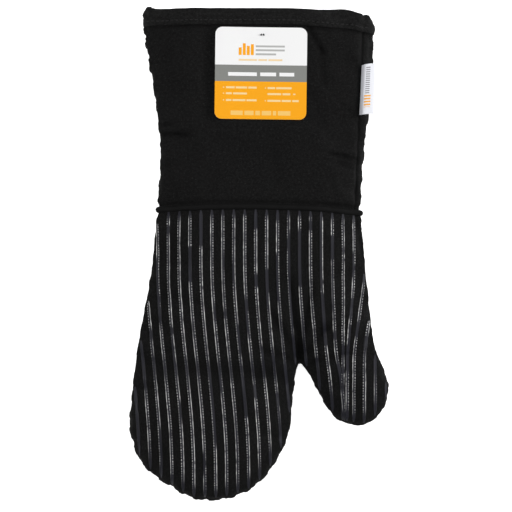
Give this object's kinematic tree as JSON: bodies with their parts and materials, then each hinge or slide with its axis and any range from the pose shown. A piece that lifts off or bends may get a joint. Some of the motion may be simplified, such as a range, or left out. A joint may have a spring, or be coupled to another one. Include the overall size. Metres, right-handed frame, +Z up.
{
  "type": "oven mitt",
  "caption": "Padded cotton oven mitt with raised silicone grip stripes, a long hemmed cuff, a side label and a card hang tag.",
  "frame": {"origin": "middle of the footprint, on the surface that the mitt lies on", "axes": "+Z up out of the grip side, +Y towards the mouth of the cuff, +X towards the thumb"},
  "size_m": [0.1868, 0.356, 0.0273],
  "materials": {
    "twill": "black cotton twill",
    "wadding": "needled cotton batting",
    "lining_fleece": "soft brushed lining",
    "trim_twill": "black cotton, folded and topstitched",
    "satin_label": "white woven satin",
    "tag_card": "coated card, printed",
    "black_plastic": "moulded filament",
    "silicone": "printed silicone bead, semi-gloss",
    "thread": "spun polyester thread"
  },
  "bodies": {
    "hand": {"palm_front_shell": "twill", "palm_front_batting": "wadding", "palm_front_lining": "lining_fleece", "palm_back_shell": "twill", "palm_back_batting": "wadding", "palm_back_lining": "lining_fleece", "front_welt": "trim_twill", "back_welt": "trim_twill"},
    "fingers": {"fingers_front_shell": "twill", "fingers_front_batting": "wadding", "fingers_front_lining": "lining_fleece", "fingers_back_shell": "twill", "fingers_back_batting": "wadding", "fingers_back_lining": "lining_fleece"},
    "thumb": {"thumb_front_shell": "twill", "thumb_front_batting": "wadding", "thumb_front_lining": "lining_fleece", "thumb_back_shell": "twill", "thumb_back_batting": "wadding", "thumb_back_lining": "lining_fleece"},
    "cuff": {"cuff_front_shell": "twill", "cuff_front_batting": "wadding", "cuff_front_lining": "lining_fleece", "cuff_back_shell": "twill", "cuff_back_batting": "wadding", "cuff_back_lining": "lining_fleece", "cuff_hem": "trim_twill"},
    "side_label": {"side_label": "satin_label"},
    "hang_tag": {"hang_tag": "tag_card", "tag_fastener": "black_plastic"}
  },
  "joints": [
    {"name": "fingers_curl", "type": "hinge", "parent": "hand", "child": "fingers", "pos_m": [-0.034, -0.092, 0.024], "axis": [-1, 0, 0], "range_deg": [0, 70]},
    {"name": "thumb_fold", "type": "hinge", "parent": "hand", "child": "thumb", "pos_m": [0.06, -0.07128, 0.024], "axis": [-0.977, -0.2131, 0], "range_deg": [0, 60]},
    {"name": "wrist_flex", "type": "hinge", "parent": "hand", "child": "cuff", "pos_m": [0, 0.03425, 0.0246], "axis": [1, 0, 0], "range_deg": [0, 45]},
    {"name": "label_flap", "type": "hinge", "parent": "cuff", "child": "side_label", "pos_m": [0.07324, 0.1185, 0.0249], "axis": [0, -1, 0], "range_deg": [0, 150]},
    {"name": "tag_lift", "type": "hinge", "parent": "cuff", "child": "hang_tag", "pos_m": [0.0016, 0.1645, 0.0255], "axis": [-0.9999, 0.0122, 0], "range_deg": [0, 110]}
  ]
}
